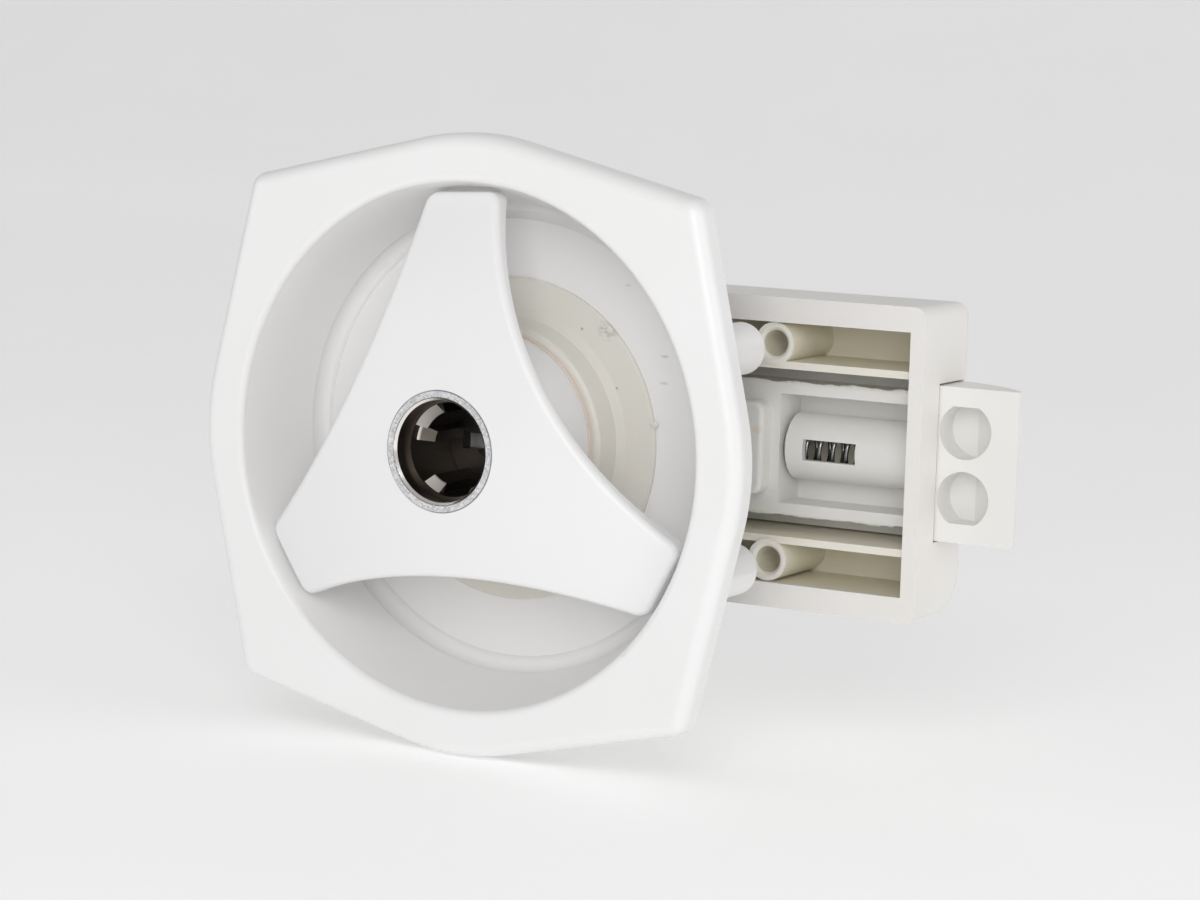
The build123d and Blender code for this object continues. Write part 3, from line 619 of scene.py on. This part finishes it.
# %% Wind and place the bolt spring
low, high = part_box("bolt_spring")
wire_radius = 0.33 * mm
coil_length = high.x - low.x
coil_radius = (high.z - low.z) / 2 - wire_radius
coil_start = Vector((low.x, (low.y + high.y) / 2, (low.z + high.z) / 2))
bolt_coil = grown(
    "bolt_coil",
    spring_tree,
    {
        "Length": coil_length, "Radius": coil_radius, "Wire radius": wire_radius,
        "Turns": 11.0, "Closed turns": 1.0, "Material": finishes["spring_steel"],
    },
    Matrix.Translation(coil_start) @ Matrix.Rotation(math.radians(90), 4, "Y"),
)
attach(bolt_coil, fixed_body)
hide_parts("bolt_spring")
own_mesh(bolt_coil)
print("bolt spring is", round(coil_length / mm, 1), "mm long at rest")

# %% [markdown]
# ## Moulding flash
#
# Where the two halves of the mould met round the bolt's carriage, a ragged film of plastic was
# squeezed out along its front edges. It follows an edge, so it is grown on a line: the line is
# cut into short steps, noise sets how far the film reaches at each step, and a thin flat
# section is swept along it.


# %% The flash tree
def flash_tree():
    """Geometry Nodes that grow a ragged film along a straight edge."""
    group = bpy.data.node_groups.new("moulding_flash", "GeometryNodeTree")
    face = group.interface
    for name, kind in (
        ("Start", "NodeSocketVector"),
        ("End", "NodeSocketVector"),
        ("Reach", "NodeSocketFloat"),
        ("Thickness", "NodeSocketFloat"),
        ("Seed", "NodeSocketFloat"),
        ("Material", "NodeSocketMaterial"),
    ):
        face.new_socket(name, in_out="INPUT", socket_type=kind)
    face.new_socket("Geometry", in_out="OUTPUT", socket_type="NodeSocketGeometry")
    tree = Tree(group)
    given = tree.add("NodeGroupInput").outputs
    edge = tree.add("GeometryNodeCurvePrimitiveLine", {
        "Start": given["Start"], "End": given["End"],
    })
    steps = tree.add("GeometryNodeResampleCurve", {"Curve": edge.outputs[0], "Count": 150})
    place = tree.add("GeometryNodeInputPosition").outputs[0]
    ragged = tree.number(
        "ShaderNodeTexNoise",
        {"Vector": place, "W": given["Seed"], "Scale": 260.0, "Detail": 4.0, "Roughness": 0.62},
        noise_dimensions="4D",
    )
    along = tree.number("GeometryNodeSplineParameter")
    ends = (along * 24).clamped() * ((1 - along) * 24).clamped()
    width = ((ragged - 0.34) * 2.6).clamped() * ends + 0.03
    level = tree.add("GeometryNodeSetCurveNormal", {"Curve": steps.outputs[0]}, mode="Z_UP")
    section = tree.add("GeometryNodeCurvePrimitiveQuadrilateral", {
        "Width": given["Thickness"], "Height": Number(tree, given["Reach"]) * 2,
    })
    swept = tree.add("GeometryNodeCurveToMesh", {
        "Curve": level.outputs[0], "Profile Curve": section.outputs[0], "Fill Caps": True,
        "Scale": width,
    })
    real = tree.add("GeometryNodeRealizeInstances", {"Geometry": swept.outputs[0]})
    painted = tree.add("GeometryNodeSetMaterial", {
        "Geometry": real.outputs[0], "Material": given["Material"],
    })
    out = tree.add("NodeGroupOutput")
    tree.links.new(painted.outputs[0], out.inputs[0])
    return group


film_tree = flash_tree()
print("flash tree has", len(film_tree.nodes), "nodes")

# %% [markdown]
# ## Flash on the bolt's carriage
#
# The film stands along both front edges of the carriage, above and below, and goes with the
# bolt. Two seeds give the two edges different tears.


# %% Grow the film on both edges
film_thickness = 0.12 * mm
film_reach = 0.75 * mm
# the film's middle lies just behind the carriage's front face
film_y = 31.08 * mm
carriage_half = 10.65 * mm
carriage_ends = (23.6 * mm, 63.4 * mm)
for side, edge_name, seed in ((1, "upper_flash", 3.0), (-1, "lower_flash", 8.0)):
    edge_z = side * carriage_half
    flash = grown(edge_name, film_tree, {
        "Start": (carriage_ends[0], film_y, edge_z), "End": (carriage_ends[1], film_y, edge_z),
        "Reach": film_reach, "Thickness": film_thickness, "Seed": seed,
        "Material": finishes["bolt_white"],
    })
    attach(flash, bolt_body)

# %% [markdown]
# ## A gate burr
#
# Where the flange was broken off its runner, a small nub is left on its outer edge. It is a
# low dome of plastic, so a small sphere is flattened and sunk half into the flange.


# %% The burr on the flange's edge
def burr(name, centre, radii):
    """A closed, slightly uneven dome."""
    unevenness = 0.10
    ball = bmesh.new()
    bmesh.ops.create_icosphere(ball, subdivisions=4, radius=1.0)
    for vert in ball.verts:
        lump = 1 + unevenness * noise.noise(vert.co * 1.7)
        vert.co = Vector([c + v * r * lump for c, v, r in zip(centre, vert.co, radii)])
    mesh = bpy.data.meshes.new(name)
    ball.to_mesh(mesh)
    ball.free()
    mesh.shade_smooth()
    mesh.materials.append(finishes["flange_ivory"])
    piece = bpy.data.objects.new(name, mesh)
    bpy.context.scene.collection.objects.link(piece)
    return piece


burr_centre = (26.05 * mm, 10.95 * mm, 4.5 * mm)
burr_radii = (0.75 * mm, 0.45 * mm, 0.6 * mm)
gate_burr = burr("gate_burr", burr_centre, burr_radii)
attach(gate_burr, fixed_body)
print(gate_burr.name, "has", len(gate_burr.data.polygons), "faces")

# %% [markdown]
# ## The studio
#
# A pale floor that curves up into a backdrop keeps the horizon out of sight. It glows faintly,
# as a light table does, so that the underside of the object isn't lost in shadow. It could be
# a plane, but a strip bent through a quarter circle has no corner to show.


# %% The floor
floor_gap = 0.4 * mm
floor_z = cad_box[0].z - floor_gap


def sweep_floor():
    """A floor with a quarter-round rise behind the object, as one smooth strip."""
    half_width = 2.2
    front_y, rise_y, top_z = -2.5, 1.2, 3.0
    rise_radius = 0.9
    steps = 24
    run = [(front_y, 0.0), (rise_y, 0.0)]
    for k in range(1, steps + 1):
        turn = math.radians(90 * k / steps)
        run.append((rise_y + rise_radius * math.sin(turn), rise_radius * (1 - math.cos(turn))))
    run.append((rise_y + rise_radius, top_z))
    corners = [(x, y, floor_z + z) for y, z in run for x in (-half_width, half_width)]
    strips = [(2 * k, 2 * k + 1, 2 * k + 3, 2 * k + 2) for k in range(len(run) - 1)]
    mesh = bpy.data.meshes.new("studio_floor")
    mesh.from_pydata(corners, [], strips)
    mesh.shade_smooth()
    return mesh


floor_finish = Finish("floor_paper", Roughness=0.85)
paper = floor_finish.noise(60.0, detail=2.0)
floor_finish.set(
    Base_Color=floor_finish.mix(paper, (0.86, 0.86, 0.86), (0.90, 0.90, 0.90)),
    Emission_Color=(1.0, 1.0, 1.0, 1.0),
    Emission_Strength=0.27,
)
studio_floor = bpy.data.objects.new("studio_floor", sweep_floor())
studio_floor.data.materials.append(floor_finish.material)
bpy.context.scene.collection.objects.link(studio_floor)
print("floor lies at Z", round(floor_z / mm, 1), "mm")

# %% [markdown]
# ## The lights
#
# One broad light stands in front and a little above, a second at the left and a third at the
# right, under a plain white world. Large lights close by give white plastic its long soft
# gradients and no hard shadow edges. White should read as white, so the view transform is the
# standard one, without a film curve.


# %% Lights and world

def soft_light(name, place, aim, size, power):
    """A square area light that faces a point."""
    data = bpy.data.lights.new(name, "AREA")
    data.shape = "SQUARE"
    data.size = size
    data.energy = power
    light = bpy.data.objects.new(name, data)
    light.location = place
    light.rotation_euler = (Vector(aim) - Vector(place)).to_track_quat("-Z", "Y").to_euler()
    bpy.context.scene.collection.objects.link(light)


middle = (0.01, 0.02, 0.0)
soft_light("key_light", (0.38, -0.76, 0.30), middle, 0.55, 3.3)
soft_light("left_light", (-0.75, -0.55, 0.15), middle, 0.50, 0.8)
soft_light("right_light", (0.90, -0.05, 0.20), middle, 0.50, 1.2)
world = bpy.data.worlds.new("studio_world")
world.use_nodes = True
sky = world.node_tree.nodes["Background"]
sky.inputs["Color"].default_value = (1.0, 1.0, 1.0, 1.0)
sky.inputs["Strength"].default_value = 0.40
bpy.context.scene.world = world
bpy.context.scene.view_settings.view_transform = "Standard"

# %% [markdown]
# ## The camera
#
# It stands to the right of the knob's axis and a little above it, about half a metre away, with
# a long lens, so the bezel shows its face and the latch case shows past its edge.


# %% Place the camera
camera_data = bpy.data.cameras.new("camera")
camera_data.sensor_width = 36.0
camera_data.lens = 104.7
camera_data.clip_start = 0.01
camera = bpy.data.objects.new("camera", camera_data)
camera.location = (0.2891, -0.4710, 0.0707)
camera.rotation_euler = tuple(math.radians(a) for a in (82.68, -1.73, 29.73))
bpy.context.scene.collection.objects.link(camera)
bpy.context.scene.camera = camera
print("camera stands", round(camera.location.length, 3), "m from the knob")

# %% [markdown]
# ## Measure and finish
#
# The CAD model's box, measured at the start, is printed. The visual model must stay inside
# the CAD box.


# %% Print the CAD box
print("cad box   ", [round(v / mm, 2) for corner in cad_box for v in corner])
